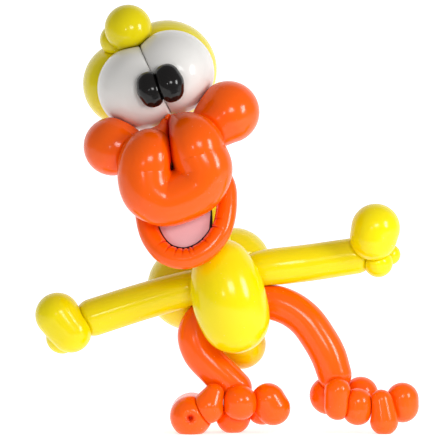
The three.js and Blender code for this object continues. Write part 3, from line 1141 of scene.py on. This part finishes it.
@dataclass
class Legs:
    """Two orange twisting balloons, each a leg and the six toes that it stands on."""

    radius: float = 25.0
    toe_radius: float = 24.5
    floor_press: float = 2.2
    outer_toe_press: float = 5.0

    def standing(self, across: float, along: float, girth: float, press: Optional[float] = None) -> Station:
        """Give a middle of a toe that stands on the floor, in toe radii."""
        return (across, along, girth - (press or self.floor_press) / self.toe_radius, girth)

    def foot(self, spot: Sequence[float], toes: Sequence[Sequence[Station]]) -> list[Bubble]:
        """Twist toes together around a spot on the floor.

        Args:
            spot: The spot.
            toes: One or two middles of each toe, from the spot, and its girth, in toe radii.

        Returns:
            The toes.
        """
        made = []
        for middles in toes:
            stations = [near(spot, np.array(place) * self.toe_radius, girth * self.toe_radius)
                        for *place, girth in middles]
            made.append(Bubble(stations, 72, 12 if len(stations) > 1 else 1, 26))
        return made

    def balloons(self) -> list[Balloon]:
        """List the legs.

        Returns:
            One item for each.
        """
        r = self.radius
        stand, outer = self.standing, self.outer_toe_press
        right = [Bubble([
            near(BODY_TWIST, (-14, 2, -26), r * 0.48), station((-27, 4, 164), r * 0.96), station((-40, -3, 139), r),
            station((-34, -6, 114), r), station((-14, -8, 91), r), station((3, -8, 74), r),
            station((15, -8, 63), self.toe_radius * 0.99)], 80, 84, 20)]
        right += self.foot((10, -8, 0), [
            [stand(-2.3, -0.88, 1.2, outer), stand(-2.25, 0.5, 1.24, outer)],
            [(-1, -1.15, 2.29, 0.61), (-1.33, -1.15, 1.53, 0.94)],
            [(0.49, -1, 1.8, 1.01)],
            [(2.12, -0.45, 1.9, 0.98), (2.41, -0.45, 1.43, 0.98)],
            [stand(0.12, 0.16, 1), stand(0.12, 1.22, 1)],
            [(1.8, 0.82, 1.39, 1)],
        ])
        right[1].tips = (0.3, 0.1)
        left = [Bubble([
            near(BODY_TWIST, (19, 3, -18), r * 0.48), station((39, 11, 187), r * 0.96), station((67, 6, 183), r),
            station((94, 3, 173), r), station((115, 0, 157), r), station((132, -3, 134), r),
            station((146, -6, 109), r), station((155, -8, 82), self.toe_radius * 0.98)], 80, 110, 20)]
        left += self.foot((190, -8, 0), [
            [(-1.76, 0.82, 2.08, 1.1)],
            [(-1.27, -0.98, 2.45, 0.76), (-1.27, -0.98, 1.55, 0.76)],
            [(-0.1, -0.76, 1.72, 0.88), (-0.12, -0.76, 1.38, 0.9)],
            [(0.08, 0.82, 2.16, 1)],
            [(1.22, -0.9, 1.88, 0.66), stand(1.39, -0.9, 0.82)],
            [(2.45, 0.24, 1.92, 0.94), (2.45, 0.24, 1.51, 0.95)],
        ])
        return [Balloon("leg_right", Rubber.ORANGE, right), Balloon("leg_left", Rubber.ORANGE, left)]


@dataclass(frozen=True)
class SoftBox:
    """A rectangular lamp, with its place and size in metres and its strength in watts."""

    name: str
    place: tuple[float, float, float]
    size: tuple[float, float]
    power: float

    def hang(self, target: Vector) -> None:
        """Add the lamp to the scene.

        Args:
            target: What it faces.
        """
        data = bpy.data.lights.new(self.name, "AREA")
        data.shape = "RECTANGLE"
        data.size, data.size_y = self.size
        data.energy = self.power
        made = added(self.name, data)
        made.location = self.place
        made.rotation_euler = (target - made.location).to_track_quat("-Z", "Y").to_euler()


SOFT_BOXES = (
    SoftBox("side light", (1.25, -0.85, 0.72), (0.34, 0.58), 11.0),
    SoftBox("front light", (0.3, -1.5, 0.7), (0.42, 0.34), 6.0),
    SoftBox("small light", (-0.5, -2.0, 0.42), (0.13, 0.13), 1.6),
)


@dataclass
class Studio:
    """A white sweep, soft lights and the camera at the photograph's angle, in metres.

    Attributes:
        distance: From the camera to the duck.
        elevation: The camera's angle above the level.
        middle_x: Where across the camera looks.
        rise: How high the middle of the picture is at the duck.
        lit_height: The height that the lamps face.
        floor_front: The floor's near edge.
        floor_back: Where the floor starts to curve up.
        bend: The radius of that curve.
        wall_top: The sweep's upper edge.
        half_width: Of the sweep.
        paper_glow: How bright the sweep is by itself.
        room_light: How bright the room is.
    """

    distance: float = 14.0
    elevation: float = math.radians(3.0)
    middle_x: float = -0.0106
    rise: float = 0.2982
    lit_height: float = 0.3
    floor_front: float = -0.7
    floor_back: float = 1.6
    bend: float = 1.4
    wall_top: float = 6.0
    half_width: float = 6.0
    paper_glow: float = 0.62
    room_light: float = 0.32

    def camera(self) -> None:
        """Place the camera so that a pixel is 1.4 mm at the duck."""
        data = bpy.data.cameras.new("camera")
        data.sensor_width = 36.0
        data.sensor_fit = "AUTO"
        data.lens = data.sensor_width * self.distance / (PHOTO_PIXELS * MM_PER_PIXEL * MM)
        data.clip_end = 60.0
        target = Vector((self.middle_x, 0.0, self.rise / math.cos(self.elevation)))
        away = Vector((0.0, -math.cos(self.elevation), math.sin(self.elevation)))
        made = added("camera", data)
        made.location = target + away * self.distance
        made.rotation_euler = (target - made.location).to_track_quat("-Z", "Y").to_euler()
        bpy.context.scene.camera = made

    def sweep(self) -> None:
        """Lay the white floor, which curves up behind the duck and is clear from behind."""
        profile = [(self.floor_front, 0.0), (self.floor_back, 0.0)]
        profile += [(self.floor_back + self.bend * math.sin(turn), self.bend - self.bend * math.cos(turn))
                    for turn in np.linspace(0.1, 1.57, 14)]
        profile += [(self.floor_back + self.bend, self.wall_top)]
        points = [(side * self.half_width, y, z) for y, z in profile for side in (-1, 1)]
        faces = [(2 * i, 2 * i + 1, 2 * i + 3, 2 * i + 2) for i in range(len(profile) - 1)]
        mesh = bpy.data.meshes.new("floor")
        mesh.from_pydata(points, [], faces)
        mesh.polygons.foreach_set("use_smooth", [True] * len(faces))
        shader = Shader("white paper")
        from_behind = shader.out(shader.node("ShaderNodeNewGeometry"), "Backfacing")
        mesh.materials.append(shader.finish(
            Base_Color=(0.9, 0.9, 0.9, 1.0), Roughness=0.9, Alpha=1 - from_behind,
            Emission_Color=(1.0, 1.0, 1.0, 1.0), Emission_Strength=self.paper_glow,
        ))
        added("floor", mesh)

    def world(self) -> None:
        """Fill the room with a pale, even light."""
        room = bpy.data.worlds.new("room")
        room.use_nodes = True
        sockets = room.node_tree.nodes["Background"].inputs
        sockets["Color"].default_value = (1.0, 1.0, 1.0, 1.0)
        sockets["Strength"].default_value = self.room_light
        bpy.context.scene.world = room

    def build(self) -> None:
        """Set the whole studio up."""
        self.camera()
        self.sweep()
        self.world()
        for box in SOFT_BOXES:
            box.hang(Vector((0.0, 0.0, self.lit_height)))
        bpy.context.scene.view_settings.view_transform = "Standard"


def place_piece(piece: bpy.types.Object, node: str) -> None:
    """Tie a piece to the duck in the place of its node.

    Args:
        piece: The piece.
        node: The node that it replaces.
    """
    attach(piece, "root")
    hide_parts(node)


def main() -> None:
    """Build every balloon and card, place each on its node and report it."""
    logging.basicConfig(level=logging.INFO, format="%(message)s")
    Studio().build()
    latex = {rubber: finish.build() for rubber, finish in FINISHES.items()}
    cards = {stock: finish.build() for stock, finish in CARDS.items()}
    mouth = Mouth()
    balloons = [balloon for part in (Head(), Beak(), mouth, Body(), Arms(), Legs())
                for balloon in part.balloons()]
    crowd = [bubble for balloon in balloons for bubble in balloon.bubbles]
    for balloon in balloons:
        skin: Optional[Skin] = None
        for bubble in balloon.bubbles:
            blown = bubble.skin([other for other in crowd if other is not bubble])
            skin = blown if skin is None else skin.joined(blown)
        piece = mesh_object(f"{balloon.node}_balloon", skin, latex[balloon.rubber])
        place_piece(piece, balloon.node)
        LOG.info("%s: %d bubbles, %d faces", piece.name, len(balloon.bubbles), len(skin.faces))
    for stock, node in ((Stock.PINK, "tongue"), (Stock.BLACK, "mouth_backing")):
        piece = mesh_object(f"{node}_card", mouth.card(mouth.cuts()[stock]), cards[stock])
        place_piece(piece, node)
        LOG.info("%s: card", piece.name)


if __name__ == "__main__":
    main()
